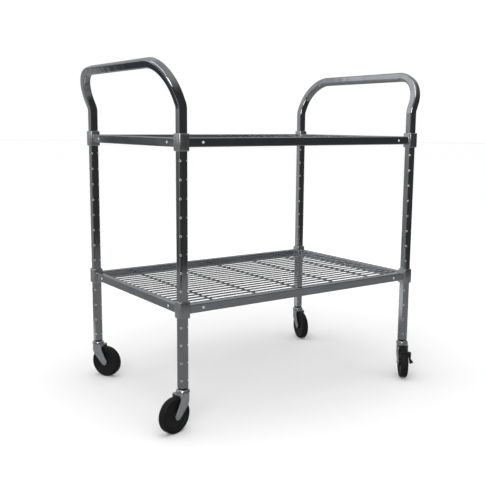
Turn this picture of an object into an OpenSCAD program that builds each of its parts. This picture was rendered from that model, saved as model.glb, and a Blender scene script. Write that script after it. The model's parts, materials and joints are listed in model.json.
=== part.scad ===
// Rolling utility cart: two bent-tube end frames, two wire shelves that index on
// the posts, four swivel stem casters, one of them with a side brake.
// Millimetres. +X runs along the long side, +Y to the back, +Z up.
// The origin is on the floor, under the centre of the cart.

/* [Overall] */
// Distance between post axes along the long side
post_span_x = 875; // [600:5:1500]
// Distance between post axes along the short side
post_span_y = 573; // [440:1:760]
// Straight length of the posts, up to where they lean out
post_straight_l = 768; // [620:1:1000]
// Middle of the handle bars above the start of the lean
handle_rise = 123; // [118:1:220]

/* [Post tube] */
// Outside width of the square tube
tube_w = 25.4; // [22:0.1:32]
// Wall of the square tube
tube_wall = 1.6; // [1.2:0.1:2.2]
// Outside corner radius of the square tube
tube_r = 5; // [4:0.1:6]
// Diameter of the index holes in the post corners
hole_d = 4.6; // [4.4:0.1:4.7]
// Distance from one index hole to the next
hole_pitch = 50.8; // [42:0.1:62]
// Lowest index hole above the end of the post
hole_first = 22.4; // [18:0.1:26]
// Least straight length above the highest index hole
hole_top_room = 80; // [60:1:100]

/* [Handle] */
// Outward lean of the handle
lean_angle = 22; // [10:1:30]
// Centre-line radius of the bend into the lean
lean_bend_r = 40; // [30:1:60]
// Centre-line radius of the two handle corners
handle_bend_r = 100; // [60:1:102]

/* [Shelves] */
// Index hole that holds the bottom shelf, counted from the lowest as 0
bottom_shelf_hole = 4; // [1:1:6]
// Height of a rail
rail_h = 25.4; // [21:0.1:31]
// Width of a rail
rail_w = 19; // [16:0.1:23]
// Wall of a rail
rail_wall = 1.5; // [1.2:0.1:1.8]
// Corner radius of a rail
rail_r = 3; // [2.5:0.1:4]
// Middle of the rails below the index hole that holds the shelf
rail_drop = 2.8; // [0:0.1:5]

/* [Collars] */
// Wall of a corner collar around the post
collar_wall = 4; // [3.3:0.1:5]
// Height of a corner collar
collar_h = 47; // [40:0.5:58]
// Middle of the collars below the index hole that holds the shelf
collar_drop = 2.5; // [0:0.1:5]
// Outside corner radius of a collar
collar_r = 6; // [4:0.1:7]
// Corner radius of the collar's bore, sharp enough to clear the raised rims of the index holes
collar_bore_r = 2; // [1.5:0.1:2.6]
// Length of the neck between a collar and a rail
neck_l = 3; // [2:0.1:5]
// Length of the spigot inside a rail
spigot_l = 58; // [50:1:80]

/* [Wire deck] */
// Diameter of the long wires
long_wire_d = 4.5; // [3:0.1:5.5]
// Number of long wires
long_wire_count = 20; // [10:1:24]
// Gap between the outer long wires and the long rails
edge_wire_gap = 2.2; // [1:0.1:6]
// Diameter of the cross wires
cross_wire_d = 5; // [4:0.1:6]
// Distance between cross wires
cross_wire_pitch = 158; // [80:1:240]
// First cross wire from the left post axes
cross_wire_start = 157; // [60:1:200]
// Least distance from the last cross wire to the right post axes
cross_wire_end = 50; // [40:1:60]
// Bottom of the cross wires above the bottom of the rails
wire_floor = 0.4; // [0:0.1:4]

/* [Fasteners] */
// Rivet distance from the post axis
rivet_at = 63; // [50:1:70]
// Rivet shank diameter
rivet_d = 4.8; // [4:0.1:5.8]
// Rivet head diameter
rivet_head_d = 8; // [7:0.1:10]
// Rivet head height
rivet_head_h = 2; // [1.6:0.1:2.4]
// Depth of the rivets behind the rail face
rivet_l = 8; // [6:0.1:9]
// Lock screw shank diameter
lock_d = 4; // [3:0.1:4]
// Lock screw head diameter
lock_head_d = 7; // [6:0.1:7.4]
// Lock screw head height
lock_head_h = 2.6; // [2:0.1:3]

/* [Casters] */
// Wheel diameter
wheel_d = 101.6; // [84:0.1:125]
// Wheel width over the tyre
wheel_w = 24; // [20:0.1:29]
// Tyre thickness, inside to outside
tyre_t = 8.4; // [6:0.1:12]
// Depth of the wheel's plain side face inside the edge of the rim
web_inset = 2; // [1:0.1:5]
// Distance from the swivel axis back to the axle
trail = 34; // [30:0.1:40]
// Room between the sides of the tyre and the fork, each side
wheel_side_room = 3.7; // [2:0.1:6]
// Room between the tread and the top face of the fork
wheel_top_room = 7; // [6:0.1:12]
// Height of the swivel, from the fork to the end of the post
swivel_h = 14.4; // [14:0.1:20]
// Plate thickness of the fork
fork_t = 2.6; // [2:0.1:3.2]
// Straight back edge of the fork head behind the swivel axis
fork_head_back = 24; // [20:0.5:26]
// Depth of the fork head
fork_head_h = 16; // [12:0.5:20]
// Radius of the rounded fork ends
fork_end_r = 10; // [8:0.1:12]
// Swivel stem diameter
stem_d = 11; // [9:0.1:13]
// Depth of the stem socket in the post
plug_l = 38; // [30:1:60]
// Axle bolt diameter
axle_d = 8; // [6:0.1:9.6]
// Swivel angle of the front left caster, 0 is trailing to +X
swivel_front_left = -166; // [-180:1:180]
// Swivel angle of the rear left caster
swivel_rear_left = -59; // [-180:1:180]
// Swivel angle of the front right caster
swivel_front_right = -128; // [-180:1:180]
// Swivel angle of the rear right caster
swivel_rear_right = -106; // [-180:1:180]

/* [Brake] */
// Brake pivot ahead of the axle
brake_pivot_ahead = 7; // [5:0.5:9]
// Brake pivot above the axle
brake_pivot_up = 29; // [27:0.5:30]
// Foot of the brake lever behind the axle
brake_foot_back = 26; // [22:0.5:30]
// Foot of the brake lever above the axle
brake_foot_up = 9; // [6:0.5:12]
// Brake lever plate thickness
brake_t = 2; // [1.6:0.1:2.4]
// Radial gap between a released brake shoe and the tread
brake_gap = 2.4; // [2.3:0.1:3]
// Brake shoe angle above the axle's level
brake_shoe_angle = 52; // [48:1:56]
// How far the foot tab stands out from the lever
brake_tab_w = 9; // [7:0.5:14]

/* [Clearances] */
// Sliding clearance between a post and a collar, each side
slide_gap = 0.3; // [0.3:0.05:0.5]
// Clearance around plugs, shanks and bolts
fit_gap = 0.1; // [0.1:0.05:0.2]
// Clearance between a spigot and the inside of a rail
spigot_gap = 0.25; // [0.2:0.05:0.4]
// Radial running clearance of wheels and brake levers
run_gap = 0.05; // [0.03:0.01:0.1]
// Clearance between parts that move past each other
move_gap = 0.4; // [0.35:0.05:0.6]

/* [Hidden] */

// Smoothness of round parts, bends and wheels
round_fn = 64;
small_fn = 32;
bend_fn = 180;
wheel_fn = 96;
// How far a cut runs past the face it opens
past = 1;

// Corners of the cart: sign of X, sign of Y, swivel angle of the caster there
front_left = [-1, -1, swivel_front_left];
rear_left = [-1, 1, swivel_rear_left];
front_right = [1, -1, swivel_front_right];
rear_right = [1, 1, swivel_rear_right];
corners = [front_left, rear_left, front_right, rear_right];

// Heights, from the floor up
axle_z = wheel_d / 2;
fork_top_z = wheel_d + wheel_top_room;
post_bottom_z = fork_top_z + swivel_h;
lean_z = post_bottom_z + post_straight_l;
function hole_z(i) = post_bottom_z + hole_first + i * hole_pitch;
top_shelf_hole = floor((post_straight_l - hole_first - hole_top_room) / hole_pitch);
top_hole_z = hole_z(top_shelf_hole);
bottom_hole_z = hole_z(bottom_shelf_hole);

// Square tube
tube_in_w = tube_w - 2 * tube_wall;
tube_in_r = tube_r - tube_wall;

// Handle: the bend into the lean, then the straight run up to the corner
lean_out = lean_bend_r * (1 - cos(lean_angle));
lean_up = lean_bend_r * sin(lean_angle);
lean_run = (handle_rise - lean_up) / cos(lean_angle) - handle_bend_r;
// Bends swell by this much, and the straights reach this far into them
bend_swell = 0.05;
bend_lap = 1;

// Shelf parts: heights are counted from the shelf's own index hole
collar_w = tube_w + 2 * (slide_gap + collar_wall);
collar_low = -collar_drop - collar_h / 2;
neck_inset = 0.8;
spigot_w = rail_w - 2 * (rail_wall + spigot_gap);
spigot_h = rail_h - 2 * (rail_wall + spigot_gap);
rail_start = collar_w / 2 + neck_l;
wire_gap = 0.02;
cross_wire_z = -rail_drop - rail_h / 2 + wire_floor + cross_wire_d / 2;
long_wire_z = cross_wire_z + (cross_wire_d + long_wire_d) / 2 + wire_gap;
long_wire_inset = rail_w / 2 + edge_wire_gap + long_wire_d / 2;
long_wire_pitch = (post_span_y - 2 * long_wire_inset) / (long_wire_count - 1);
cross_wire_count = 1 + floor((post_span_x - cross_wire_start - cross_wire_end) / cross_wire_pitch);
edge_wire_short = 1.2;

// Distance from a post axis to a rounded corner, along the diagonal
function corner_reach(w, r) = (w / 2 - r) * sqrt(2) + r;
collar_reach = corner_reach(collar_w, collar_r);
lock_tip = corner_reach(tube_in_w, tube_in_r) - past;

// Swivel
fork_in_w = wheel_w + 2 * wheel_side_room;
fork_w = fork_in_w + 2 * fork_t;
fork_skirt_z = fork_top_z - fork_head_h;
flange_t = 2.2;
flange_inset = 0.5;
shoulder_t = 1.2;
shoulder_r = stem_d / 2 + 4;
ball_r = 2.2;
ball_gap = 0.06;
ball_ring_r = stem_d / 2 + 7.1;
ball_count = 14;
ball_z = fork_top_z + ball_r + ball_gap;
race_wall = 2.4;
race_r = ball_ring_r + ball_r + 2.2 + race_wall;
race_top_r = race_r - 6.4;
race_roof_z = ball_z + ball_r + ball_gap;
race_edge_z = race_roof_z + 1;
race_lip_z = fork_top_z + move_gap;
race_top_z = post_bottom_z - flange_t - shoulder_t;
foot_r = stem_d / 2 + 3.5;
foot_t = 3;
foot_gap = 0.5;
stem_short = 2;

// Axle and wheel
bush_r = axle_d / 2 + 2.2;
hub_r = bush_r + 7.3;
hub_w = fork_in_w - 2 * move_gap;
rim_r = wheel_d / 2 - tyre_t;
rim_t = 5;
rim_inset = 1;
web_t = wheel_w - 2 * (rim_inset + web_inset);
tyre_edge_r = 4;
bolt_head_r = axle_d / 2 + 2;
bolt_head_t = 1.8;
stud_r = 2.5;
nut_r = axle_d / 2 + 2;
nut_t = 2.4;
nut_recess = 1;

// Brake lever, in the caster's own frame: X back along the trail, Z up
lever_y = fork_w / 2 + move_gap;
shoe_r = 1.5;
shoe_eye_r = 3;
belt_inset = 0.15;
shoe_reach = wheel_d / 2 + brake_gap + shoe_r;
pivot_at = [trail - brake_pivot_ahead, axle_z + brake_pivot_up];
foot_at = [trail + brake_foot_back, axle_z + brake_foot_up];
shoe_at = [trail, axle_z] + shoe_reach * [cos(brake_shoe_angle), sin(brake_shoe_angle)];
lever_r = 6;
tab_l = 10;
tab_top = 12;
tab_low = 5;
pin_r = 2.5;
pin_shoulder_r = 4;
pin_head_r = 4.6;
pin_head_t = 1.6;

// ---------- helpers ----------

module rounded_rect(w, h, r) {
    square([w - 2 * r, h], center = true);
    square([w, h - 2 * r], center = true);
    for (x = [-1, 1], y = [-1, 1]) translate([x * (w / 2 - r), y * (h / 2 - r)]) circle(r, $fn = round_fn);
}

// The square tube, with a wall that is thicker by swell on both sides
module tube_outline(swell = 0) {
    difference() {
        rounded_rect(tube_w + 2 * swell, tube_w + 2 * swell, tube_r + swell);
        rounded_rect(tube_in_w - 2 * swell, tube_in_w - 2 * swell, tube_in_r - swell);
    }
}

// A bend in the XY plane, from the X axis round towards +Y
module tube_bend(bend_r, angle) {
    rotate_extrude(angle = angle, $fn = bend_fn) translate([bend_r, 0]) tube_outline(bend_swell);
}

// A straight tube from z0 to z1 that reaches into the wall of the bend at its end
module tube_run(z0, z1) translate([0, 0, z0]) linear_extrude(z1 - z0) tube_outline();

module rail_outline() {
    difference() {
        rounded_rect(rail_w, rail_h, rail_r);
        rounded_rect(rail_w - 2 * rail_wall, rail_h - 2 * rail_wall, rail_r - rail_wall);
    }
}

// An outline swept along X from x0 to x1: its own X lies along Y, its own Y along Z
module along_x(x0, x1) translate([x0, 0, 0]) rotate([90, 0, 90]) linear_extrude(x1 - x0) children();

// An outline in X and Z swept along Y from y0 to y1
module plate_y(y0, y1) translate([0, y1, 0]) rotate([90, 0, 0]) linear_extrude(y1 - y0) children();

// Turns what stands along Z to lie along Y
module along_y() rotate([-90, 0, 0]) children();

module at_post(c) translate([c[0] * post_span_x / 2, c[1] * post_span_y / 2, 0]) children();

// A corner of the cart, mirrored so that +X and +Y both point into it, at height z
module at_corner(c, z) {
    at_post(c) translate([0, 0, z])
        mirror([c[0] > 0 ? 1 : 0, 0, 0]) mirror([0, c[1] > 0 ? 1 : 0, 0]) children();
}

// Swaps X and Y when m is 1, so that a part for a long rail serves a side rail
module swap_xy(m) mirror([m, -m, 0]) children();

// A caster's place, turned so that +X points the way its wheel trails
module at_caster(c) at_post(c) rotate([0, 0, c[2]]) children();

// Where a line from point p touches a circle about c; side is 1 or -1
function touch(p, c, r, side) =
    let (a = atan2(p[1] - c[1], p[0] - c[0]) + side * acos(r / norm(p - c)))
    c + r * [cos(a), sin(a)];

// The straight-sided band between two circles, a touch narrower than both
module belt(p, r_p, q, r_q) {
    rp = r_p - belt_inset;
    rq = r_q - belt_inset;
    a = atan2(q[1] - p[1], q[0] - p[0]);
    b = acos((rp - rq) / norm(q - p));
    polygon([
        p + rp * [cos(a + b), sin(a + b)], q + rq * [cos(a + b), sin(a + b)],
        q + rq * [cos(a - b), sin(a - b)], p + rp * [cos(a - b), sin(a - b)]
    ]);
}

// ---------- end frames ----------

// The leaning part of an end frame: Z runs up the lean from the end of the bend
module at_lean() translate([lean_out, 0, lean_z + lean_up]) rotate([0, lean_angle, 0]) children();

// One post, its bend into the lean and its handle corner, leaning to +X, turning to +Y
module post_and_corner() {
    tube_run(post_bottom_z, lean_z + bend_lap);
    translate([lean_bend_r, 0, lean_z]) rotate([90, 0, 180]) tube_bend(lean_bend_r, lean_angle);
    at_lean() {
        tube_run(-bend_lap, lean_run + bend_lap);
        translate([0, handle_bend_r, lean_run]) rotate([90, 0, -90]) tube_bend(handle_bend_r, 90);
    }
}

module handle_bar() {
    half = post_span_y / 2 - handle_bend_r + bend_lap;
    at_lean() translate([0, 0, lean_run + handle_bend_r]) along_y() tube_run(-half, half);
}

// A row of holes through both diagonals of a post
module index_holes() {
    for (i = [0 : top_shelf_hole], a = [45, 135]) translate([0, 0, hole_z(i)]) rotate([0, 90, a])
        cylinder(d = hole_d, h = 2 * tube_w, center = true, $fn = small_fn);
}

// The right-hand end frame, leaning to +X
module end_frame() {
    color("silver") translate([post_span_x / 2, 0, 0]) difference() {
        union() {
            for (m = [0, 1]) mirror([0, m, 0]) translate([0, -post_span_y / 2, 0]) post_and_corner();
            handle_bar();
        }
        for (y = [-1, 1]) translate([0, y * post_span_y / 2, 0]) index_holes();
    }
}

// ---------- shelves ----------

// A rivet hole driven in from the outside of the cart, to a depth behind the rail face
module rivet_hole(depth) {
    translate([rivet_at, -rail_w / 2 - past, -rail_drop]) along_y()
        cylinder(d = rivet_d + 2 * fit_gap, h = depth + past, $fn = small_fn);
}

// A corner collar: a sleeve round the post, with a neck and a spigot for each rail
module collar(c, z) {
    bore_w = tube_w + 2 * slide_gap;
    color("gray") at_corner(c, z) difference() {
        union() {
            translate([0, 0, collar_low]) linear_extrude(collar_h)
                rounded_rect(collar_w, collar_w, collar_r);
            for (m = [0, 1]) swap_xy(m) translate([0, 0, -rail_drop]) {
                along_x(collar_w / 2 - collar_r, rail_start)
                    rounded_rect(rail_w - 2 * neck_inset, rail_h - 2 * neck_inset, rail_r);
                along_x(collar_w / 2, rail_start + spigot_l)
                    rounded_rect(spigot_w, spigot_h, rail_r - rail_wall);
            }
        }
        translate([0, 0, collar_low - past]) linear_extrude(collar_h + 2 * past)
            rounded_rect(bore_w, bore_w, collar_bore_r);
        rotate([0, 90, 45]) cylinder(d = lock_d + 2 * fit_gap, h = 2 * collar_w, $fn = small_fn);
        for (m = [0, 1]) swap_xy(m) rivet_hole(rivet_l + fit_gap);
    }
}

module long_rail(side, z) {
    half = post_span_x / 2 - rail_start;
    color("silver") difference() {
        translate([0, side * post_span_y / 2, z - rail_drop]) along_x(-half, half) rail_outline();
        for (x = [-1, 1]) at_corner([x, side], z) rivet_hole(rail_wall + past);
    }
}

module side_rail(side, z) {
    half = post_span_y / 2 - rail_start;
    color("silver") difference() {
        translate([side * post_span_x / 2, 0, z - rail_drop]) rotate([0, 0, 90])
            along_x(-half, half) rail_outline();
        for (y = [-1, 1]) at_corner([side, y], z) swap_xy(1) rivet_hole(rail_wall + past);
    }
}

module rivet() {
    translate([rivet_at, -rail_w / 2, -rail_drop]) along_y() {
        cylinder(d = rivet_d, h = rivet_l, $fn = small_fn);
        translate([0, 0, -rivet_head_h / 2])
            cylinder(d = rivet_head_d, h = rivet_head_h / 2, $fn = small_fn);
        translate([0, 0, -rivet_head_h])
            cylinder(d1 = rivet_head_d * 0.6, d2 = rivet_head_d, h = rivet_head_h / 2, $fn = small_fn);
    }
}

module rail_rivets(z) color("white") for (c = corners, m = [0, 1]) at_corner(c, z) swap_xy(m) rivet();

// Screws through the inner corners of the collars into the index holes, each shank running up into its head
module lock_screws(z) {
    color("dimgray") for (c = corners) at_corner(c, z) rotate([0, 90, 45]) {
        translate([0, 0, lock_tip])
            cylinder(d = lock_d, h = collar_reach + lock_head_h / 2 - lock_tip, $fn = small_fn);
        translate([0, 0, collar_reach]) cylinder(d = lock_head_d, h = lock_head_h, $fn = small_fn);
    }
}

// Long wires run from side rail to side rail; the outer two stop short of the collars
module long_wires(z) {
    full = post_span_x / 2 - rail_w / 2;
    short = post_span_x / 2 - collar_w / 2 - edge_wire_short;
    color("lightgray") for (i = [0 : long_wire_count - 1])
        translate([0, -post_span_y / 2 + long_wire_inset + i * long_wire_pitch, z + long_wire_z])
            rotate([0, 90, 0]) cylinder(
                d = long_wire_d, h = 2 * (i == 0 || i == long_wire_count - 1 ? short : full),
                center = true, $fn = small_fn
            );
}

module cross_wires(z) {
    color("lightgray") for (i = [0 : cross_wire_count - 1])
        translate([-post_span_x / 2 + cross_wire_start + i * cross_wire_pitch, 0, z + cross_wire_z])
            along_y() cylinder(d = cross_wire_d, h = post_span_y - rail_w, center = true, $fn = small_fn);
}

// ---------- caster parts that stay with the posts ----------

module stem_sockets() {
    plug_w = tube_in_w - 2 * fit_gap;
    color("#303030") for (c = corners) at_post(c) difference() {
        union() {
            translate([0, 0, post_bottom_z]) linear_extrude(plug_l) rounded_rect(plug_w, plug_w, tube_in_r);
            translate([0, 0, post_bottom_z - flange_t]) linear_extrude(flange_t)
                rounded_rect(tube_w - 2 * flange_inset, tube_w - 2 * flange_inset, tube_r);
        }
        translate([0, 0, post_bottom_z - flange_t - past])
            cylinder(d = stem_d + 2 * fit_gap, h = plug_l + flange_t + 2 * past, $fn = round_fn);
    }
}

// Stem with a shoulder on the race and a riveted foot under the fork head
module swivel_stems() {
    low = fork_top_z - fork_t - foot_gap - foot_t;
    color("silver") for (c = corners) at_post(c) {
        translate([0, 0, low])
            cylinder(d = stem_d, h = post_bottom_z + plug_l - stem_short - low, $fn = round_fn);
        translate([0, 0, low]) cylinder(r = foot_r, h = foot_t, $fn = round_fn);
        translate([0, 0, race_top_z]) cylinder(r = shoulder_r, h = shoulder_t, $fn = round_fn);
    }
}

// Domed upper race, hollow over the balls
module swivel_races() {
    color("gainsboro") for (c = corners) at_post(c) difference() {
        union() {
            translate([0, 0, race_lip_z])
                cylinder(r = race_r, h = race_edge_z - race_lip_z, $fn = round_fn);
            translate([0, 0, race_edge_z])
                cylinder(r1 = race_r, r2 = race_top_r, h = race_top_z - race_edge_z, $fn = round_fn);
        }
        translate([0, 0, race_lip_z - past])
            cylinder(r = race_r - race_wall, h = race_roof_z - race_lip_z + past, $fn = round_fn);
        translate([0, 0, race_lip_z - past])
            cylinder(d = stem_d + 2 * fit_gap, h = swivel_h + 2 * past, $fn = round_fn);
    }
}

module swivel_balls() {
    color("white") for (c = corners, i = [0 : ball_count - 1]) at_post(c)
        rotate([0, 0, i * 360 / ball_count]) translate([ball_ring_r, 0, ball_z]) sphere(ball_r, $fn = 24);
}

// ---------- fork, axle and wheel, each trailing to +X ----------

// Plan of the fork: round at the front, straight sides running back
module fork_plan(half_w, back) {
    circle(half_w, $fn = round_fn);
    translate([0, -half_w]) square([back, 2 * half_w]);
}

// Side view of the fork: head, sloping front edge, rounded ends at the axle
module fork_side() {
    axle = [trail, axle_z];
    front = [-fork_w / 2 - past, fork_skirt_z];
    back = [fork_head_back, fork_skirt_z];
    polygon([
        [front[0], fork_top_z], [back[0], fork_top_z], back,
        touch(back, axle, fork_end_r, -1), axle, touch(front, axle, fork_end_r, 1), front
    ]);
    translate(axle) circle(fork_end_r, $fn = round_fn);
}

module fork(c, braked) {
    back = trail + fork_end_r + past;
    color("darkgray") at_caster(c) difference() {
        union() {
            intersection() {
                linear_extrude(fork_top_z) difference() {
                    fork_plan(fork_w / 2, back);
                    fork_plan(fork_in_w / 2, back + past);
                }
                plate_y(-fork_w, fork_w) fork_side();
            }
            translate([0, 0, fork_top_z - fork_t]) linear_extrude(fork_t)
                fork_plan(fork_w / 2, fork_head_back);
        }
        translate([0, 0, fork_top_z - fork_t - past])
            cylinder(d = stem_d + 2 * move_gap, h = fork_t + 2 * past, $fn = round_fn);
        translate([trail, -fork_w, axle_z]) along_y()
            cylinder(d = axle_d + 2 * fit_gap, h = 2 * fork_w, $fn = small_fn);
        if (braked) translate([pivot_at[0], 0, pivot_at[1]]) along_y()
            cylinder(r = pin_r + fit_gap, h = fork_w, $fn = small_fn);
    }
}

// The middle of the axle, with Z along the axle towards the left of the fork
module at_axle(c) at_caster(c) translate([trail, 0, axle_z]) along_y() children();

// Shouldered bolt: a low head on the left, a thinner threaded end on the right
module axle_bolt(c) {
    color("darkgray") at_axle(c) {
        cylinder(d = axle_d, h = fork_w, center = true, $fn = small_fn);
        translate([0, 0, fork_w / 2]) cylinder(r = bolt_head_r, h = bolt_head_t, $fn = small_fn);
        translate([0, 0, nut_recess - nut_t - fork_w / 2])
            cylinder(r = stud_r, h = nut_t - nut_recess, $fn = small_fn);
    }
}

// Low round nut with an open mouth
module axle_nut(c) {
    color("darkgray") at_axle(c) translate([0, 0, -fork_w / 2 - nut_t]) difference() {
        cylinder(r = nut_r, h = nut_t, $fn = small_fn);
        translate([0, 0, -past]) cylinder(r = stud_r + fit_gap, h = nut_t + 2 * past, $fn = small_fn);
    }
}

module axle_bush(c) {
    color("goldenrod") at_axle(c) difference() {
        cylinder(r = bush_r, h = fork_in_w, center = true, $fn = small_fn);
        cylinder(d = axle_d + 2 * fit_gap, h = fork_w, center = true, $fn = small_fn);
    }
}

module wheel_core(c) {
    color("dimgray") at_axle(c) rotate_extrude($fn = wheel_fn) {
        translate([bush_r + run_gap, -hub_w / 2]) square([hub_r - bush_r - run_gap, hub_w]);
        translate([hub_r - past, -web_t / 2]) square([rim_r - hub_r, web_t]);
        translate([rim_r - rim_t, -wheel_w / 2 + rim_inset]) square([rim_t, wheel_w - 2 * rim_inset]);
    }
}

module tyre(c) {
    e = tyre_edge_r;
    color("#202020") at_axle(c) rotate_extrude($fn = wheel_fn) {
        translate([rim_r, -wheel_w / 2]) square([tyre_t - e, wheel_w]);
        translate([rim_r, -wheel_w / 2 + e]) square([tyre_t, wheel_w - 2 * e]);
        for (s = [-1, 1]) translate([wheel_d / 2 - e, s * (wheel_w / 2 - e)]) circle(e, $fn = small_fn);
    }
}

// ---------- side brake on the left leg of a fork ----------

// Lever plate with three rounded corners, a shoe bar over the tread and a foot tab
module brake_lever(c) {
    color("gray") at_caster(c) {
        difference() {
            plate_y(lever_y, lever_y + brake_t) {
                for (p = [pivot_at, foot_at]) translate(p) circle(lever_r, $fn = small_fn);
                translate(shoe_at) circle(shoe_eye_r, $fn = small_fn);
                belt(pivot_at, lever_r, foot_at, lever_r);
                belt(pivot_at, lever_r, shoe_at, shoe_eye_r);
                belt(foot_at, lever_r, shoe_at, shoe_eye_r);
                polygon([pivot_at, foot_at, shoe_at]);
            }
            translate([pivot_at[0], 0, pivot_at[1]]) along_y()
                cylinder(r = pin_r + run_gap, h = fork_w, $fn = small_fn);
        }
        translate([shoe_at[0], -wheel_w / 2, shoe_at[1]]) along_y()
            cylinder(r = shoe_r, h = wheel_w / 2 + lever_y + brake_t, $fn = small_fn);
        translate([0, lever_y, foot_at[1]]) along_x(foot_at[0] - tab_l / 2, foot_at[0] + tab_l / 2)
            polygon([
                [0, tab_top], [brake_t, tab_top], [brake_t + brake_tab_w, 1],
                [brake_t + brake_tab_w, -1], [brake_t, -tab_low], [0, -tab_low]
            ]);
    }
}

// Shouldered rivet that holds the lever to the fork leg
module brake_pivot(c) {
    head_at = fork_t + 2 * move_gap + brake_t;
    color("white") at_caster(c) translate([pivot_at[0], fork_in_w / 2, pivot_at[1]]) along_y() {
        cylinder(r = pin_r, h = head_at, $fn = small_fn);
        translate([0, 0, fork_t]) cylinder(r = pin_shoulder_r, h = move_gap - run_gap, $fn = small_fn);
        translate([0, 0, head_at]) cylinder(r = pin_head_r, h = pin_head_t, $fn = small_fn);
    }
}

// ---------- nodes ----------

mirror([1, 0, 0]) end_frame();  // left_end_frame
end_frame();  // right_end_frame
stem_sockets();
swivel_stems();
swivel_races();
swivel_balls();
long_rail(-1, top_hole_z);  // top_front_rail
long_rail(1, top_hole_z);  // top_rear_rail
side_rail(-1, top_hole_z);  // top_left_rail
side_rail(1, top_hole_z);  // top_right_rail
collar(front_left, top_hole_z);  // top_front_left_collar
collar(rear_left, top_hole_z);  // top_rear_left_collar
collar(front_right, top_hole_z);  // top_front_right_collar
collar(rear_right, top_hole_z);  // top_rear_right_collar
long_wires(top_hole_z);  // top_long_wires
cross_wires(top_hole_z);  // top_cross_wires
rail_rivets(top_hole_z);  // top_rail_rivets
lock_screws(top_hole_z);  // top_lock_screws
long_rail(-1, bottom_hole_z);  // bottom_front_rail
long_rail(1, bottom_hole_z);  // bottom_rear_rail
side_rail(-1, bottom_hole_z);  // bottom_left_rail
side_rail(1, bottom_hole_z);  // bottom_right_rail
collar(front_left, bottom_hole_z);  // bottom_front_left_collar
collar(rear_left, bottom_hole_z);  // bottom_rear_left_collar
collar(front_right, bottom_hole_z);  // bottom_front_right_collar
collar(rear_right, bottom_hole_z);  // bottom_rear_right_collar
long_wires(bottom_hole_z);  // bottom_long_wires
cross_wires(bottom_hole_z);  // bottom_cross_wires
rail_rivets(bottom_hole_z);  // bottom_rail_rivets
lock_screws(bottom_hole_z);  // bottom_lock_screws
fork(front_left, false);  // front_left_fork
axle_bolt(front_left);  // front_left_axle_bolt
axle_nut(front_left);  // front_left_axle_nut
axle_bush(front_left);  // front_left_bush
wheel_core(front_left);  // front_left_wheel_core
tyre(front_left);  // front_left_tyre
fork(rear_left, false);  // rear_left_fork
axle_bolt(rear_left);  // rear_left_axle_bolt
axle_nut(rear_left);  // rear_left_axle_nut
axle_bush(rear_left);  // rear_left_bush
wheel_core(rear_left);  // rear_left_wheel_core
tyre(rear_left);  // rear_left_tyre
fork(front_right, true);  // front_right_fork
axle_bolt(front_right);  // front_right_axle_bolt
axle_nut(front_right);  // front_right_axle_nut
axle_bush(front_right);  // front_right_bush
wheel_core(front_right);  // front_right_wheel_core
tyre(front_right);  // front_right_tyre
fork(rear_right, false);  // rear_right_fork
axle_bolt(rear_right);  // rear_right_axle_bolt
axle_nut(rear_right);  // rear_right_axle_nut
axle_bush(rear_right);  // rear_right_bush
wheel_core(rear_right);  // rear_right_wheel_core
tyre(rear_right);  // rear_right_tyre
brake_lever(front_right);  // front_right_brake_lever
brake_pivot(front_right);  // front_right_brake_pivot
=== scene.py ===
"""Rolling utility cart: finishes for its CAD parts, pieces that show its fine detail, light and camera."""
import json
import math

import bmesh
import bpy
from mathutils import Matrix, Vector


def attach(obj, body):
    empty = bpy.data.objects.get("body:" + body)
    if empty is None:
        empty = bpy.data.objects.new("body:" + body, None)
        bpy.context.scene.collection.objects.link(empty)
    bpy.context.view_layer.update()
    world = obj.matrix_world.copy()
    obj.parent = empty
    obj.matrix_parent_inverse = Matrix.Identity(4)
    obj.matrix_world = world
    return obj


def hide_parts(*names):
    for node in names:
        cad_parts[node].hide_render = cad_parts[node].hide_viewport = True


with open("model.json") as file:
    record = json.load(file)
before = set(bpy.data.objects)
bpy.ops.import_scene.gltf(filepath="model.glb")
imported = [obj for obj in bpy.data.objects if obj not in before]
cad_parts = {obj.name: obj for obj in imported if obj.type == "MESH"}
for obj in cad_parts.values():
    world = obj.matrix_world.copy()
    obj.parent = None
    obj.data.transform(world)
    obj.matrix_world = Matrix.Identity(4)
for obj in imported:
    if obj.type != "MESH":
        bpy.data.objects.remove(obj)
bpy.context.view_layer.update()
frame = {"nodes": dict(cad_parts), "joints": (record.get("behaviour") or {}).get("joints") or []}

MM = 0.001
UP = Vector((0, 0, 1))
CORNERS = ("front_left", "rear_left", "front_right", "rear_right")
SHELVES = ("top", "bottom")
BRAKED = ("front_right",)
joints = {joint["name"]: joint for joint in frame["joints"]}


# ---------- camera ----------

# Where the camera stands, from the middle of the cart on the floor, and how it is turned
CAMERA_AT = Vector((-1.4559, -2.0389, 0.8511))
CAMERA_YAW = math.radians(34.814)
CAMERA_PITCH = math.radians(8.905)
CAMERA_ROLL = math.radians(0.381)
CAMERA_LENS = 55.85


def make_camera():
    """A camera in front of the cart's left end, a little above the top shelf."""
    forward = Vector((
        math.sin(CAMERA_YAW) * math.cos(CAMERA_PITCH),
        math.cos(CAMERA_YAW) * math.cos(CAMERA_PITCH),
        -math.sin(CAMERA_PITCH),
    ))
    level = Vector((math.cos(CAMERA_YAW), -math.sin(CAMERA_YAW), 0))
    upright = level.cross(forward)
    right = level * math.cos(CAMERA_ROLL) + upright * math.sin(CAMERA_ROLL)
    top = upright * math.cos(CAMERA_ROLL) - level * math.sin(CAMERA_ROLL)
    data = bpy.data.cameras.new("camera")
    data.lens = CAMERA_LENS
    data.sensor_width = 36
    data.clip_end = 200
    camera = bpy.data.objects.new("camera", data)
    turn = Matrix((right, top, -forward)).transposed()
    camera.matrix_world = Matrix.Translation(CAMERA_AT) @ turn.to_4x4()
    bpy.context.scene.collection.objects.link(camera)
    bpy.context.scene.camera = camera


# ---------- materials ----------

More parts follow.
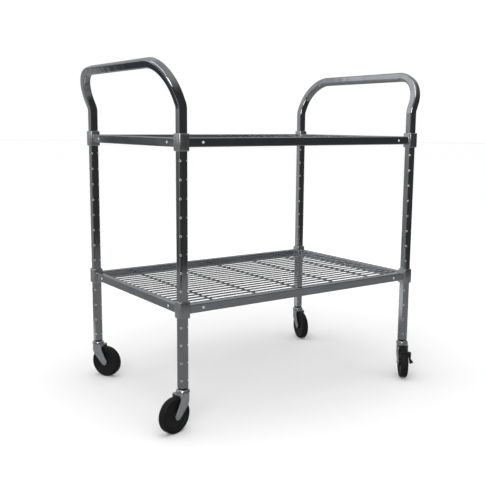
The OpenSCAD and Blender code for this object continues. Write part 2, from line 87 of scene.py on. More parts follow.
def linear(hex_colour):
    """An sRGB hex colour as linear RGBA."""
    parts = [int(hex_colour[i:i + 2], 16) / 255 for i in (1, 3, 5)]
    return tuple(p / 12.92 if p <= 0.04045 else ((p + 0.055) / 1.055) ** 2.4 for p in parts) + (1,)


def add(tree, kind, inputs=None, **settings):
    """Adds a node, sets its settings, and sets or links its inputs."""
    made = tree.nodes.new(kind)
    for name, value in settings.items():
        setattr(made, name, value)
    for key, value in (inputs or {}).items():
        if isinstance(value, bpy.types.NodeSocket):
            tree.links.new(value, made.inputs[key])
        else:
            made.inputs[key].default_value = value
    return made


def blank_material(name):
    """A new material and its empty node tree."""
    made = bpy.data.materials.new(name)
    made.use_nodes = True
    made.node_tree.nodes.clear()
    return made, made.node_tree


def marks(tree, size_mm, stretch=(1, 1, 1), detail=3.0):
    """Soft blotches fixed to the piece, size_mm across and stretched along X, Y, Z.

    They run from 0 to 1 and are mostly near a half."""
    place = add(tree, "ShaderNodeTexCoord")
    scaled = add(tree, "ShaderNodeMapping", {
        "Vector": place.outputs["Object"],
        "Scale": [1 / (size_mm * MM * s) for s in stretch],
    })
    noise = add(tree, "ShaderNodeTexNoise", {
        "Vector": scaled.outputs["Vector"], "Scale": 1.0, "Detail": detail, "Roughness": 0.55,
    })
    return noise.outputs["Fac"]


def skin(tree, tone, colours, shine, relief, metallic=1.0, **dielectric):
    """The surface of a finish: tone picks between two colours and between two roughnesses.

    Relief is a list of (height, depth in mm) that are laid over each other."""
    share = add(tree, "ShaderNodeMapRange", {"Value": tone, "From Min": 0.3, "From Max": 0.7})
    colour = add(tree, "ShaderNodeMix", {
        0: share.outputs["Result"], 6: linear(colours[0]), 7: linear(colours[1]),
    }, data_type="RGBA")
    rough = add(tree, "ShaderNodeMapRange", {
        "Value": tone, "From Min": 0.3, "From Max": 0.7, "To Min": shine[0], "To Max": shine[1],
    })
    inputs = {
        "Base Color": colour.outputs[2], "Roughness": rough.outputs["Result"], "Metallic": metallic,
    }
    for height, depth_mm in relief:
        layer = {"Height": height, "Strength": 1.0, "Distance": depth_mm * MM}
        if "Normal" in inputs:
            layer["Normal"] = inputs["Normal"]
        inputs["Normal"] = add(tree, "ShaderNodeBump", layer).outputs["Normal"]
    inputs.update({key.replace("_", " "): value for key, value in dielectric.items()})
    shader = add(tree, "ShaderNodeBsdfPrincipled", inputs)
    add(tree, "ShaderNodeOutputMaterial", {"Surface": shader.outputs["BSDF"]})


def chrome_on_steel(name, along):
    """Nickel-chrome on drawn steel tube: a mirror with a faint pull along the tube and slow waves.

    A real tube's die lines are 0.1 mm apart; they are drawn 1.5 mm apart here, so that they show."""
    made, tree = blank_material(name)
    lines = marks(tree, 1.5, [14 if axis == along else 1 for axis in "XYZ"])
    smears = marks(tree, 22, [3 if axis == along else 1 for axis in "XYZ"])
    waves = marks(tree, 30, [5 if axis == along else 1 for axis in "XYZ"], 1.0)
    skin(tree, smears, ("#BABDC1", "#CBCDD0"), (0.05, 0.13), [(waves, 0.4), (lines, 0.012)])
    return made


def chrome_on_casting(name):
    """Chrome on a cast collar: softer than the tube, with the casting's faint orange peel under it."""
    made, tree = blank_material(name)
    peel = marks(tree, 2.6, detail=4.0)
    skin(tree, marks(tree, 14), ("#CBCDCF", "#DBDCDE"), (0.26, 0.4), [(peel, 0.08)])
    return made


def bright_wire(name, along):
    """Bright plate on drawn wire: thin and even, a little hazy, with drawing lines along the wire."""
    made, tree = blank_material(name)
    lines = marks(tree, 1.2, [20 if axis == along else 1 for axis in "XYZ"])
    skin(tree, marks(tree, 35), ("#A6A8AB", "#BCBEC1"), (0.22, 0.36), [(lines, 0.02)])
    return made


def zinc_on_pressing(name, colours, shine=(0.34, 0.5)):
    """Zinc on pressed steel, grey or black: a milky satin, mottled by the bath, with fine pressing marks.

    The plate scatters part of its light under its passivation, so it is not drawn as a pure metal."""
    made, tree = blank_material(name)
    pressing = marks(tree, 0.9, (1, 1, 3), 2.0)
    skin(tree, marks(tree, 7, detail=5.0), colours, shine, [(pressing, 0.03)], metallic=0.7)
    return made


def bright_steel(name, colours=("#C4C6C8", "#DADCDD"), shine=(0.08, 0.18)):
    """Turned and polished steel: a clean bright mirror with light handling haze."""
    made, tree = blank_material(name)
    haze = marks(tree, 4)
    skin(tree, haze, colours, shine, [(haze, 0.01)])
    return made


def satin_aluminium(name):
    """Upset aluminium of blind rivets and hole liners: nearly white, satin from the setting tool.

    The metal scatters much of its light, so nearly half of it is drawn as a plain diffuse white."""
    made, tree = blank_material(name)
    skin(
        tree, marks(tree, 2.0), ("#DCDEE0", "#F0F1F2"), (0.35, 0.5), [(marks(tree, 0.8), 0.02)],
        metallic=0.55, Specular_IOR_Level=0.5,
    )
    return made


def moulded_black(name, colours, shine, grain_mm, depth_mm, specular):
    """Black moulded plastic or rubber: coloured through, with the mould's fine texture on its skin."""
    made, tree = blank_material(name)
    mottle = marks(tree, 18, detail=4.0)
    grain = marks(tree, grain_mm, detail=5.0)
    skin(
        tree, mottle, colours, shine, [(grain, depth_mm)],
        metallic=0.0, IOR=1.5, Specular_IOR_Level=specular,
    )
    return made


def sintered_bronze(name):
    """Oil-filled bronze: dull brown-gold with dark pores."""
    made, tree = blank_material(name)
    pores = marks(tree, 0.8, detail=2.0)
    skin(tree, pores, ("#6E5230", "#A8834C"), (0.35, 0.55), [(pores, 0.05)])
    return made


def weld_metal(name):
    """Resistance weld under plate: a dull rippled bead."""
    made, tree = blank_material(name)
    ripple = marks(tree, 0.9, detail=4.0)
    skin(tree, ripple, ("#7E8082", "#9C9EA0"), (0.35, 0.5), [(ripple, 0.12)])
    return made


post_chrome = chrome_on_steel("chrome_on_square_post", "Z")
long_rail_chrome = chrome_on_steel("chrome_on_long_rail", "X")
side_rail_chrome = chrome_on_steel("chrome_on_side_rail", "Y")
collar_chrome = chrome_on_casting("chrome_on_cast_collar")
long_wire_plate = bright_wire("bright_plate_on_long_wire", "X")
cross_wire_plate = bright_wire("bright_plate_on_cross_wire", "Y")
wire_weld = weld_metal("plated_weld_bead")
fork_zinc = zinc_on_pressing("zinc_on_pressed_fork", ("#9C9EA0", "#B8BABC"), (0.3, 0.46))
brake_zinc = zinc_on_pressing("black_zinc_on_brake_lever", ("#2B2C2D", "#434446"))
bolt_zinc = zinc_on_pressing("zinc_on_axle_hardware", ("#9B9DA0", "#B4B6B8"), (0.25, 0.38))
polished_steel = bright_steel("polished_steel")
race_chrome = bright_steel("polished_race", ("#B9BCBF", "#D2D5D8"), (0.07, 0.14))
rivet_aluminium = satin_aluminium("satin_aluminium")
tyre_rubber = moulded_black(
    "moulded_black_rubber", ("#0E0E0F", "#181819"), (0.5, 0.68),
    grain_mm=1.6, depth_mm=0.12, specular=0.3,
)
wheel_plastic = moulded_black(
    "moulded_black_polyolefin", ("#101011", "#19191A"), (0.4, 0.5),
    grain_mm=1.2, depth_mm=0.06, specular=0.35,
)
socket_nylon = moulded_black(
    "moulded_black_nylon", ("#0E0E0F", "#171718"), (0.4, 0.5),
    grain_mm=1.0, depth_mm=0.05, specular=0.4,
)
bush_bronze = sintered_bronze("sintered_bronze")


def finish_of(name):
    """The material of a CAD node that shows as it is."""
    by_ending = (
        ("end_frame", post_chrome), ("stem_sockets", socket_nylon), ("swivel_stems", polished_steel),
        ("swivel_races", race_chrome), ("swivel_balls", polished_steel),
        ("front_rail", long_rail_chrome), ("rear_rail", long_rail_chrome),
        ("left_rail", side_rail_chrome), ("right_rail", side_rail_chrome),
        ("collar", collar_chrome), ("long_wires", long_wire_plate), ("cross_wires", cross_wire_plate),
        ("rail_rivets", rivet_aluminium), ("lock_screws", bolt_zinc), ("fork", fork_zinc),
        ("axle_bolt", bolt_zinc), ("axle_nut", bolt_zinc), ("bush", bush_bronze),
        ("wheel_core", wheel_plastic), ("tyre", tyre_rubber), ("brake_lever", brake_zinc),
        ("brake_pivot", polished_steel),
    )
    return next(material for ending, material in by_ending if name.endswith(ending))


for node_name, node_object in frame["nodes"].items():
    node_object.data.materials.clear()
    node_object.data.materials.append(finish_of(node_name))


# ---------- mesh helpers ----------

def arc(centre_r, centre_z, radius, start, end, steps):
    """Points of an arc in a turned profile, from start to end in degrees, 0 pointing away from the axis."""
    turns = [math.radians(start + (end - start) * i / steps) for i in range(steps + 1)]
    return [(centre_r + radius * math.cos(t), centre_z + radius * math.sin(t)) for t in turns]


def rounded_box(half_w, half_h, corner, height, steps=5):
    """A rounded rectangle at a height, as points round it."""
    points = []
    for quarter, (side_x, side_y) in enumerate(((1, 1), (-1, 1), (-1, -1), (1, -1))):
        for i in range(steps + 1):
            t = math.radians(90 * (quarter + i / steps))
            points.append((
                side_x * (half_w - corner) + corner * math.cos(t),
                side_y * (half_h - corner) + corner * math.sin(t), height,
            ))
    return points


def circle(radius, height, steps=48, sides=0):
    """A circle at a height, or the polygon with that many sides, whose flats lie at the radius."""
    if radius < 1e-6:
        return [(0, 0, height)]
    points = []
    for i in range(steps):
        t = 2 * math.pi * i / steps
        part = 2 * math.pi / sides if sides else 0
        reach = radius / math.cos((t + part / 2) % part - part / 2) if sides else radius
        points.append((reach * math.cos(t), reach * math.sin(t), height))
    return points


def loft(bm, loops, place, closed=False):
    """Skins loops of points in millimetres. The ends are capped, or joined to each other when closed."""
    rings = [[bm.verts.new(place @ (Vector(point) * MM)) for point in loop] for loop in loops]
    followers = rings[1:] + rings[:1] if closed else rings[1:]
    for low, high in zip(rings, followers):
        count = max(len(low), len(high))
        for i in range(count):
            j = (i + 1) % count
            corners = [low[i % len(low)], low[j % len(low)], high[j % len(high)], high[i % len(high)]]
            bm.faces.new(list(dict.fromkeys(corners)))
    if not closed:
        for ring in (rings[0], rings[-1]):
            if len(ring) > 2:
                bm.faces.new(ring)


def lathe(bm, profile, place, steps, closed=False):
    """Turns a profile of (radius, height) in millimetres about the Z axis of place."""
    loft(bm, [circle(radius, height, steps) for radius, height in profile], place, closed)


def finished(bm, name, material, body, replaces=(), sharp=40):
    """Closes off a bmesh as a piece that rides on a body."""
    bmesh.ops.recalc_face_normals(bm, faces=bm.faces)
    mesh = bpy.data.meshes.new(name)
    bm.to_mesh(mesh)
    bm.free()
    mesh.shade_smooth()
    mesh.set_sharp_from_angle(angle=math.radians(sharp))
    mesh.materials.append(material)
    piece = bpy.data.objects.new(name, mesh)
    bpy.context.scene.collection.objects.link(piece)
    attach(piece, body)
    if replaces:
        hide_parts(*replaces)
    return piece


def facing(direction, origin):
    """A place at origin whose Z axis points along direction."""
    z_axis = Vector(direction).normalized()
    x_axis = UP.cross(z_axis)
    if x_axis.length < 1e-6:
        x_axis = Vector((1, 0, 0))
    x_axis.normalize()
    turn = Matrix((x_axis, z_axis.cross(x_axis), z_axis)).transposed()
    return Matrix.Translation(origin) @ turn.to_4x4()


def post_at(corner, height=0.0):
    """A post's axis at a height in millimetres."""
    x, y, _ = joints[corner + "_swivel"]["pos_m"]
    return Vector((x, y, height * MM))


def inward(corner):
    """The directions from a post towards the middle of the cart, along X and along Y."""
    at = post_at(corner)
    return Vector((-math.copysign(1, at.x), 0, 0)), Vector((0, -math.copysign(1, at.y), 0))


def axle_place(corner):
    """The middle of a wheel, with Z along the axle."""
    spin = joints[corner + "_spin"]
    return facing(spin["axis"], Vector(spin["pos_m"]))


# ---------- posts ----------

# Outside of the square post, and the index holes in its corners, in millimetres
POST_HALF_W = 12.7
POST_CORNER_R = 5.0
CORNER_REACH = (POST_HALF_W - POST_CORNER_R) * math.sqrt(2) + POST_CORNER_R
HOLE_FIRST = 145.4
HOLE_PITCH = 50.8
HOLE_COUNT = 14
TOP_SHELF_HOLE = 13
BOTTOM_SHELF_HOLE = 4
HOLE_Z = [HOLE_FIRST + HOLE_PITCH * i for i in range(HOLE_COUNT)]
SHELF_Z = {"top": HOLE_Z[TOP_SHELF_HOLE], "bottom": HOLE_Z[BOTTOM_SHELF_HOLE]}


def hole_liner(bm, place):
    """A rolled lip round an index hole, laid over the rounded corner of the post."""
    profile = [(2.1, -1.1), (2.1, 0.3)]
    profile += arc(2.6, 0.3, 0.5, 180, 60, 3)
    profile += [(3.15, 0.45), (3.4, 0.05), (3.4, -0.5)]
    loops = []
    for radius, height in profile:
        loops.append([
            (x, y, z - POST_CORNER_R + math.sqrt(POST_CORNER_R ** 2 - x * x))
            for x, y, z in circle(radius, height, 20)
        ])
    loft(bm, loops, place, closed=True)


def make_hole_liners():
    """A liner in every index hole, on all four corners of each post."""
    bm = bmesh.new()
    for corner in CORNERS:
        for height in HOLE_Z:
            for turn in (45, 135, 225, 315):
                away = Vector((math.cos(math.radians(turn)), math.sin(math.radians(turn)), 0))
                hole_liner(bm, facing(away, post_at(corner, height) + away * CORNER_REACH * MM))
    finished(bm, "index_hole_liners", rivet_aluminium, "frame", sharp=60)


make_hole_liners()


# ---------- shelves ----------

# Rails, collars and wires in millimetres, with heights from the shelf's own index hole
RAIL_HALF_W = 9.5
RAIL_DROP = 2.8
COLLAR_LOW = -26.0
COLLAR_HIGH = 21.0
COLLAR_HALF_W = 17.0
COLLAR_CORNER_R = 6.0
COLLAR_REACH = (COLLAR_HALF_W - COLLAR_CORNER_R) * math.sqrt(2) + COLLAR_CORNER_R
BORE_HALF_W = 13.0
BORE_CORNER_R = 2.0
NECK_END = 20.0
SPIGOT_END = 78.0
RIVET_AT = 63.0
LONG_WIRE_COUNT = 20
LONG_WIRE_INSET = 13.95
CROSS_WIRE_AT = [157.0 + 158.0 * i for i in range(5)]
LONG_WIRE_Z = -7.83
CROSS_WIRE_Z = -12.6
LONG_WIRE_R = 2.25
CROSS_WIRE_R = 2.5


def collar_ring(half, corner, height):
    """A square ring of a collar, with rounded corners."""
    return rounded_box(half, half, corner, height, 6)


def make_collar(shelf, corner):
    """Cast sleeve with softened ends, and a filleted neck and a spigot for each rail."""
    at = post_at(corner, SHELF_Z[shelf])
    bm = bmesh.new()
    loft(bm, [
        collar_ring(BORE_HALF_W, BORE_CORNER_R, COLLAR_LOW + 0.8), collar_ring(13.5, 2.5, COLLAR_LOW),
        collar_ring(15.0, 4.2, COLLAR_LOW), collar_ring(15.9, 5.0, COLLAR_LOW + 0.5),
        collar_ring(16.6, 5.6, COLLAR_LOW + 1.5),
        collar_ring(COLLAR_HALF_W, COLLAR_CORNER_R, COLLAR_LOW + 3.2),
        collar_ring(COLLAR_HALF_W, COLLAR_CORNER_R, COLLAR_HIGH - 2.0),
        collar_ring(16.7, 5.7, COLLAR_HIGH - 0.8),
        collar_ring(15.9, 5.0, COLLAR_HIGH), collar_ring(13.5, 2.5, COLLAR_HIGH),
        collar_ring(BORE_HALF_W, BORE_CORNER_R, COLLAR_HIGH - 0.8),
    ], Matrix.Translation(at), closed=True)
    for towards in inward(corner):
        loft(bm, [
            rounded_box(11.9, 8.7, 3.0, 14.5), rounded_box(13.3, 10.1, 4.2, 16.9),
            rounded_box(12.4, 9.2, 3.4, 17.4), rounded_box(11.9, 8.7, 3.0, 18.4),
            rounded_box(11.9, 8.7, 3.0, NECK_END - 0.3), rounded_box(11.6, 8.4, 2.7, NECK_END),
            rounded_box(10.95, 7.75, 1.5, NECK_END), rounded_box(10.95, 7.75, 1.5, SPIGOT_END),
        ], rail_place(towards, at))
    prefix = shelf + "_" + corner
    finished(
        bm, prefix + "_cast_collar", collar_chrome, shelf + "_shelf",
        [prefix + "_collar"], 35,
    )


def rail_place(towards, at):
    """The middle of a rail's end at a post, with Z along the rail and X up."""
    side = UP.cross(towards)
    turn = Matrix((UP, -side, towards)).transposed()
    return Matrix.Translation(at - UP * RAIL_DROP * MM) @ turn.to_4x4()


def make_rivets(shelf):
    """Domed blind rivets through the outer face of each rail into the spigots."""
    bm = bmesh.new()
    for corner in CORNERS:
        along_x, along_y = inward(corner)
        for towards, outward in ((along_x, -along_y), (along_y, -along_x)):
            at = post_at(corner, SHELF_Z[shelf] - RAIL_DROP)
            at += (towards * RIVET_AT + outward * RAIL_HALF_W) * MM
            profile = [(0, 2.0), (1.0, 1.98), (2.0, 1.75), (2.9, 1.3), (3.6, 0.75), (3.95, 0.3), (4.0, 0.0)]
            profile += [(2.4, 0.0), (2.4, -8.0), (0, -8.0)]
            lathe(bm, profile, facing(outward, at), 32)
    finished(
        bm, shelf + "_domed_rivets", rivet_aluminium, shelf + "_shelf",
        [shelf + "_rail_rivets"], 50,
    )


def make_lock_screws(shelf):
    """Button-head screws with a hexagon socket, through the inner corners of the collars."""
    bm = bmesh.new()
    for corner in CORNERS:
        inner = sum(inward(corner), Vector()).normalized()
        at = post_at(corner, SHELF_Z[shelf]) + inner * COLLAR_REACH * MM
        head = [(1.7, 2.6)] + arc(1.7, 0.8, 1.8, 75, 0, 4) + [(3.5, 0), (2.0, 0)]
        loops = [circle(0, 1.2), circle(1.25, 1.3, 24, 6), circle(1.25, 2.5, 24, 6)]
        loops += [circle(r, z, 24) for r, z in head]
        loops += [circle(2.0, -7.8, 24), circle(1.6, -8.25, 24), circle(0, -8.25)]
        loft(bm, loops, facing(inner, at))
    finished(
        bm, shelf + "_button_screws", bolt_zinc, shelf + "_shelf",
        [shelf + "_lock_screws"], 35,
    )


def weld_collar(bm, place, wire_r):
    """The fillet of weld where a wire's end meets a rail."""
    lathe(bm, [
        (wire_r - 0.1, 2.2), (wire_r + 0.5, 1.2), (wire_r + 1.4, 0.35), (wire_r + 1.5, 0.0),
        (wire_r - 0.1, 0.0),
    ], place, 12, closed=True)


def make_wire_welds(shelf):
    """Weld beads: one under each crossing of the wires, and one round each end that meets a rail.

    The outermost long wires end at the collars, where no bead shows."""
    low = post_at("front_left", SHELF_Z[shelf])
    high = post_at("rear_right", SHELF_Z[shelf])
    deck_w = high.y - low.y - 2 * LONG_WIRE_INSET * MM
    wire_y = [
        low.y + deck_w * i / (LONG_WIRE_COUNT - 1) + LONG_WIRE_INSET * MM
        for i in range(LONG_WIRE_COUNT)
    ]
    wire_x = [low.x + at * MM for at in CROSS_WIRE_AT]
    bm = bmesh.new()
    crossing_z = low.z + (CROSS_WIRE_Z + CROSS_WIRE_R) * MM
    for x in wire_x:
        for y in wire_y:
            bead = [(0, 1.5), (1.3, 1.0), (2.0, 0), (1.3, -1.0), (0, -1.5)]
            lathe(bm, bead, Matrix.Translation((x, y, crossing_z)), 8)
        for y, away in ((low.y + RAIL_HALF_W * MM, 1), (high.y - RAIL_HALF_W * MM, -1)):
            weld_collar(bm, facing((0, away, 0), Vector((x, y, low.z + CROSS_WIRE_Z * MM))), CROSS_WIRE_R)
    for y in wire_y[1:-1]:
        for x, away in ((low.x + RAIL_HALF_W * MM, 1), (high.x - RAIL_HALF_W * MM, -1)):
            weld_collar(bm, facing((away, 0, 0), Vector((x, y, low.z + LONG_WIRE_Z * MM))), LONG_WIRE_R)
    finished(bm, shelf + "_wire_welds", wire_weld, shelf + "_shelf", sharp=60)


for shelf_name in SHELVES:
    for corner_name in CORNERS:
        make_collar(shelf_name, corner_name)
    make_rivets(shelf_name)
    make_lock_screws(shelf_name)
    make_wire_welds(shelf_name)


# ---------- casters ----------

# Outside of the fork's legs, in millimetres from the middle of the wheel
FORK_HALF_W = 18.3


def softened(node, name, material, body, edge_mm):
    """A pressed part's own shape, with its cut edges rounded as a press leaves them."""
    bm = bmesh.new()
    bm.from_mesh(frame["nodes"][node].data)
    bmesh.ops.remove_doubles(bm, verts=bm.verts, dist=1e-6)
    bmesh.ops.dissolve_limit(bm, angle_limit=math.radians(0.5), verts=bm.verts, edges=bm.edges)
    piece = finished(bm, name, material, body, [node], 30)
    rounding = piece.modifiers.new("pressed_edges", "BEVEL")
    rounding.width = edge_mm * MM
    rounding.segments = 2
    rounding.limit_method = "ANGLE"
    rounding.angle_limit = math.radians(40)


def make_races():
    """Domed pressed race over each ring of balls, with a rolled lower lip."""
    bm = bmesh.new()
    profile = [(17.0, 109.0), (18.9, 109.0), (19.35, 109.4), (19.4, 112.4)]
    profile += [(19.2, 114.0), (18.5, 115.5), (17.3, 116.8), (15.6, 118.0), (13.6, 118.9)]
    profile += [(11.4, 119.4), (9.0, 119.6), (5.6, 119.6), (5.6, 113.12), (17.0, 113.12)]
    for corner in CORNERS:
        lathe(bm, profile, Matrix.Translation(post_at(corner)), 64, closed=True)
    finished(bm, "domed_races", race_chrome, "frame", ["swivel_races"], 50)


def make_axle_hardware(corner):
    """Axle bolt with a low domed head, and a rolled nut with an open mouth."""
    body = corner + "_caster"
    bm = bmesh.new()
    head = [(0, 20.2), (2.5, 20.1), (4.3, 19.8), (5.4, 19.3), (5.9, 18.8), (6.0, FORK_HALF_W)]
    shank = [(4.0, FORK_HALF_W), (4.0, -FORK_HALF_W), (2.5, -FORK_HALF_W)]
    shank += [(2.5, -19.3), (2.2, -19.7), (0, -19.7)]
    lathe(bm, head + shank, axle_place(corner), 40)
    finished(bm, corner + "_domed_bolt", bolt_zinc, body, [corner + "_axle_bolt"])
    bm = bmesh.new()
    ring = [(2.6, -FORK_HALF_W), (2.6, -20.3), (2.9, -20.65), (3.6, -20.7)]
    ring += [(4.8, -20.5), (5.6, -19.9), (6.0, -FORK_HALF_W)]
    lathe(bm, ring, axle_place(corner), 40, closed=True)
    finished(bm, corner + "_rolled_nut", bolt_zinc, body, [corner + "_axle_nut"])


def make_brake(corner):
    """Pressed lever, and its rivet with a domed head."""
    softened(
        corner + "_brake_lever", corner + "_pressed_lever", brake_zinc, corner + "_brake",
        edge_mm=0.4,
    )
    spin = joints[corner + "_spin"]
    axis = Vector(spin["axis"])
    pivot = Vector(joints[corner + "_brake_press"]["pos_m"])
    middle = pivot + axis * (Vector(spin["pos_m"]) - pivot).dot(axis)
    bm = bmesh.new()
    pin = [(0, 15.7), (2.5, 15.7), (2.5, FORK_HALF_W), (4.0, FORK_HALF_W), (4.0, 18.65)]
    pin += [(2.5, 18.65), (2.5, 21.1)]
    pin += [(4.6, 21.1), (4.5, 21.6), (3.9, 22.1), (2.8, 22.5), (1.4, 22.7), (0, 22.75)]
    lathe(bm, pin, facing(axis, middle), 32)
    finished(
        bm, corner + "_domed_pivot", polished_steel, corner + "_caster",
        [corner + "_brake_pivot"],
    )


# ---------- wheels ----------

# Turned sizes in millimetres; a wheel stands on the floor, so its radius is its axle's height
TYRE_R = joints["front_left_spin"]["pos_m"][2] / MM
TYRE_HALF_W = 12.0
RIM_R = TYRE_R - 8.4
HUB_HALF_W = 15.3
BUSH_R = 6.25


def both_sides(half):
    """A profile given for the +Z side, from the inside outwards and back, closed by its mirror image."""
    return half + [(r, -z) for r, z in reversed(half)]


def make_tyre(corner):
    """Solid tyre: crowned tread, soft shoulders, a moulded ring in each sidewall."""
    shoulder = 4.6
    half = [(RIM_R, 10.2), (RIM_R + 0.6, 10.9)]
    half += [(RIM_R + 1.5, 11.3), (RIM_R + 1.9, 11.0), (RIM_R + 2.6, 11.0), (RIM_R + 3.0, 11.6)]
    half += arc(TYRE_R - shoulder - 0.15, TYRE_HALF_W - shoulder, shoulder, 84, 6, 8)
    half += [(TYRE_R - 0.03, 3.5), (TYRE_R, 1.0)]
    bm = bmesh.new()
    lathe(bm, both_sides(half), axle_place(corner), 96, closed=True)
    finished(
        bm, corner + "_moulded_tyre", tyre_rubber, corner + "_wheel",
        [corner + "_tyre"], 50,
    )


def make_wheel_core(corner):
    """Moulded wheel body: plain dished sides, a rim bead, a stepped hub with a rounded boss."""
    half = [(BUSH_R, HUB_HALF_W)]
    half += arc(10.4, HUB_HALF_W - 1.4, 1.4, 90, 0, 4)
    half += [(12.2, 10.6)] + arc(14.4, 10.3, 1.6, 180, 270, 4)
    half += [(20.0, 8.5), (30.0, 8.4)] + arc(34.6, 10.0, 1.6, 270, 340, 4)
    half += arc(38.0, 10.1, 0.8, 160, 90, 3) + arc(RIM_R - 1.0, 9.9, 1.0, 90, 0, 3)
    bm = bmesh.new()
    lathe(bm, both_sides(half), axle_place(corner), 96, closed=True)
    finished(
        bm, corner + "_moulded_wheel", wheel_plastic, corner + "_wheel",
        [corner + "_wheel_core"], 45,
    )


make_races()
for corner_name in CORNERS:
    softened(
        corner_name + "_fork", corner_name + "_pressed_fork", fork_zinc, corner_name + "_caster",
        edge_mm=0.6,
    )
    make_axle_hardware(corner_name)
    make_tyre(corner_name)
    make_wheel_core(corner_name)
for corner_name in BRAKED:
    make_brake(corner_name)


# ---------- light, floor and surroundings ----------

# Sizes and places in the studio, in metres
FLOOR_R = 40
BACKDROP_R = 38
BACKDROP_H = 30
TENT_R = 37
TENT_H = 29
TENT_FOOT = -0.2
GREY_FLOOR_R = 2.4
GREY_FLOOR_Z = 0.0004
GREY_FLOOR_CENTRE = (-0.25, 0.75, 0)
CARD_X = (-1.16, -0.35)
CARD_Y = 1.8
CARD_Z = (-0.1, 2.2)
STRIP_X = (-1.1, -0.75)
STRIP_Y = (-1.6, 1.2)
STRIP_Z = 3.1

# Brightness of the parts of the studio, where 1 is white. A pair is (distance in m, brightness)
PAPER_GLOW = (0.35, 2.3, 0.45)
BACKDROP_LEVEL = 1.0
TENT_LEVEL = 0.6
FLOOR_REFLECTED = ((0.3, 0.62), (0.65, 0.21))
CARD_LEVEL = ((0, 0.27), (0.4, 0.42))
STRIP_LEVEL = 4.0
FRONT_LEVEL = 0.045
OVERHEAD_LEVEL = 0.3
BACK_LEVEL = 0.3
HIGH_LEFT_LEVEL = 0.5
LEFT_LEVEL = 0.2


def area_light(name, at, towards, size, power):
    """A softbox at a place in metres, aimed at another, with its power in watts."""
    data = bpy.data.lights.new(name, "AREA")
    data.shape = "RECTANGLE"
    data.size, data.size_y = size
    data.energy = power
    lamp = bpy.data.objects.new(name, data)
    lamp.matrix_world = facing(Vector(at) - Vector(towards), Vector(at))
    bpy.context.scene.collection.objects.link(lamp)
    return lamp


def stage_piece(name, bm, material, seen_by):
    """A piece of the studio, which only the kinds of ray in seen_by meet."""
    mesh = bpy.data.meshes.new(name)
    bm.to_mesh(mesh)
    bm.free()
    mesh.materials.append(material)
    made = bpy.data.objects.new(name, mesh)
    bpy.context.scene.collection.objects.link(made)
    made.visible_camera = "camera" in seen_by
    made.visible_diffuse = "diffuse" in seen_by
    made.visible_glossy = "glossy" in seen_by
    made.visible_shadow = "shadow" in seen_by


def disc(radius, height):
    """A flat disc, in metres."""
    bm = bmesh.new()
    bm.faces.new([bm.verts.new((x * MM, y * MM, height)) for x, y, _ in circle(radius / MM, 0, 64)])
    return bm


def tent(radius, height):
    """A round wall with a flat roof, in metres."""
    bm = bmesh.new()
    profile = [(radius / MM, TENT_FOOT / MM), (radius / MM, height / MM), (0, height / MM)]
    lathe(bm, profile, Matrix(), 64)
    return bm


def flat_card(corners):
    """A flat four-sided card, from its corners in metres."""
    bm = bmesh.new()
    bm.faces.new([bm.verts.new(corner) for corner in corners])
    return bm


def paper_material():
    """Matt white paper, which glows far from the cart so that it runs into the backdrop."""
    made, tree = blank_material("matt_white_paper")
    place = add(tree, "ShaderNodeTexCoord")
    away = add(tree, "ShaderNodeVectorMath", {0: place.outputs["Object"]}, operation="LENGTH")
    glow = add(tree, "ShaderNodeMapRange", {
        "Value": away.outputs["Value"], "From Min": PAPER_GLOW[0], "From Max": PAPER_GLOW[1],
        "To Min": 0.0, "To Max": PAPER_GLOW[2],
    })
    fibres = add(tree, "ShaderNodeMix", {
        0: marks(tree, 4), 6: linear("#F0F0F0"), 7: linear("#F5F5F5"),
    }, data_type="RGBA")
    shader = add(tree, "ShaderNodeBsdfPrincipled", {
        "Base Color": fibres.outputs[2], "Roughness": 0.9, "Specular IOR Level": 0.1,
        "Emission Color": (1, 1, 1, 1), "Emission Strength": glow.outputs["Result"],
    })
    add(tree, "ShaderNodeOutputMaterial", {"Surface": shader.outputs["BSDF"]})
    return made


def even_glow(name, level):
    """A lit surface that is equally bright all over."""
    made, tree = blank_material(name)
    glow = add(tree, "ShaderNodeEmission", {"Color": (1, 1, 1, 1), "Strength": level})
    add(tree, "ShaderNodeOutputMaterial", {"Surface": glow.outputs["Emission"]})
    return made


def fading_glow(name, centre, spread, start, end):
    """A lit surface whose brightness runs from start to end.

    Each is (distance in m from the centre, brightness), and spread is how far each axis counts in it."""
    made, tree = blank_material(name)
    place = add(tree, "ShaderNodeTexCoord")
    apart = add(tree, "ShaderNodeVectorMath", {0: place.outputs["Object"], 1: centre}, operation="SUBTRACT")
    scaled = add(tree, "ShaderNodeVectorMath", {0: apart.outputs["Vector"], 1: spread}, operation="MULTIPLY")
    away = add(tree, "ShaderNodeVectorMath", {0: scaled.outputs["Vector"]}, operation="LENGTH")
    level = add(tree, "ShaderNodeMapRange", {
        "Value": away.outputs["Value"], "From Min": start[0], "From Max": end[0],
        "To Min": start[1], "To Max": end[1],
    }, interpolation_type="SMOOTHSTEP")
    glow = add(tree, "ShaderNodeEmission", {"Color": (1, 1, 1, 1), "Strength": level.outputs["Result"]})
    add(tree, "ShaderNodeOutputMaterial", {"Surface": glow.outputs["Emission"]})
    return made


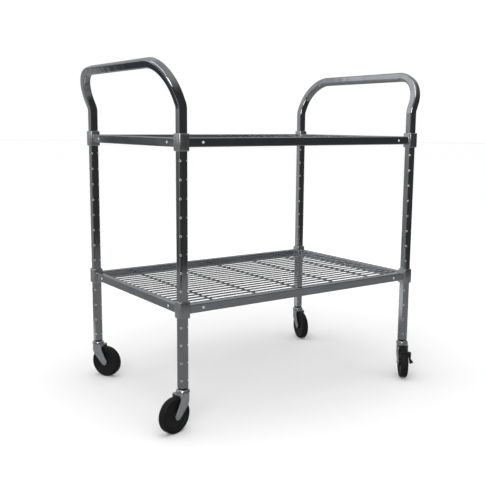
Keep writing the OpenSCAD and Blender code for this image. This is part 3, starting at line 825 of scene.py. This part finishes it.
def make_surroundings():
    """White paper, a wall behind it and a tent round it that lights it, and what the chrome sees.

    The chrome sees a grey floor, a grey card at the back left and a long strip light high on the left."""
    stage_piece("floor", disc(FLOOR_R, 0), paper_material(), ("camera", "diffuse", "shadow"))
    stage_piece(
        "floor_in_reflections", disc(GREY_FLOOR_R, GREY_FLOOR_Z),
        fading_glow("grey_floor", GREY_FLOOR_CENTRE, (1, 1, 1), *FLOOR_REFLECTED), ("glossy",),
    )
    stage_piece(
        "backdrop", tent(BACKDROP_R, BACKDROP_H), even_glow("lit_backdrop", BACKDROP_LEVEL), ("camera",),
    )
    stage_piece("light_tent", tent(TENT_R, TENT_H), even_glow("lit_tent", TENT_LEVEL), ("diffuse",))
    card = flat_card([
        (CARD_X[0], CARD_Y, CARD_Z[0]), (CARD_X[1], CARD_Y, CARD_Z[0]),
        (CARD_X[1], CARD_Y, CARD_Z[1]), (CARD_X[0], CARD_Y, CARD_Z[1]),
    ])
    card_finish = fading_glow("lit_card", (CARD_X[0], 0, 0), (1, 0, 0), *CARD_LEVEL)
    stage_piece("grey_card", card, card_finish, ("glossy",))
    strip = flat_card([
        (STRIP_X[0], STRIP_Y[0], STRIP_Z), (STRIP_X[1], STRIP_Y[0], STRIP_Z),
        (STRIP_X[1], STRIP_Y[1], STRIP_Z), (STRIP_X[0], STRIP_Y[1], STRIP_Z),
    ])
    stage_piece("strip_light", strip, even_glow("lit_strip", STRIP_LEVEL), ("glossy",))


def make_room_light():
    """The dim room that the chrome sees: dark in front, lighter overhead, behind, and towards the left."""
    world = bpy.data.worlds.new("dim_room")
    bpy.context.scene.world = world
    world.use_nodes = True
    tree = world.node_tree
    tree.nodes.clear()
    place = add(tree, "ShaderNodeTexCoord")
    total = FRONT_LEVEL
    for direction, start, end, level in (
        ((0, 0, 1), 0.2, 0.95, OVERHEAD_LEVEL),
        ((0.45, 0.85, 0.25), 0.5, 1.0, BACK_LEVEL),
        ((-0.9, 0.4, 0), 0.68, 1.0, LEFT_LEVEL),
        ((-0.6, 0.72, 0.35), 0.9, 0.985, HIGH_LEFT_LEVEL),
    ):
        along = add(tree, "ShaderNodeVectorMath", {
            0: place.outputs["Generated"], 1: Vector(direction).normalized(),
        }, operation="DOT_PRODUCT")
        lobe = add(tree, "ShaderNodeMapRange", {
            "Value": along.outputs["Value"], "From Min": start, "From Max": end,
            "To Min": 0.0, "To Max": level,
        }, interpolation_type="SMOOTHSTEP")
        summed = add(tree, "ShaderNodeMath", {0: total, 1: lobe.outputs["Result"]}, operation="ADD")
        total = summed.outputs["Value"]
    glow = add(tree, "ShaderNodeBackground", {"Color": (1, 1, 1, 1), "Strength": total})
    add(tree, "ShaderNodeOutputWorld", {"Surface": glow.outputs["Background"]})


def make_softboxes():
    """A large softbox overhead, which the chrome does not mirror, and a small one at the front left."""
    overhead = area_light(
        "overhead_softbox", at=(-0.2, -0.2, 3.2), towards=(0, 0, 0.4), size=(3.0, 2.4), power=52,
    )
    overhead.visible_glossy = False
    area_light("front_softbox", at=(-2.7, -2.6, 2.2), towards=(0, 0, 0.6), size=(1.6, 1.6), power=40)


make_camera()
make_surroundings()
make_room_light()
make_softboxes()
bpy.context.scene.view_settings.view_transform = "Standard"
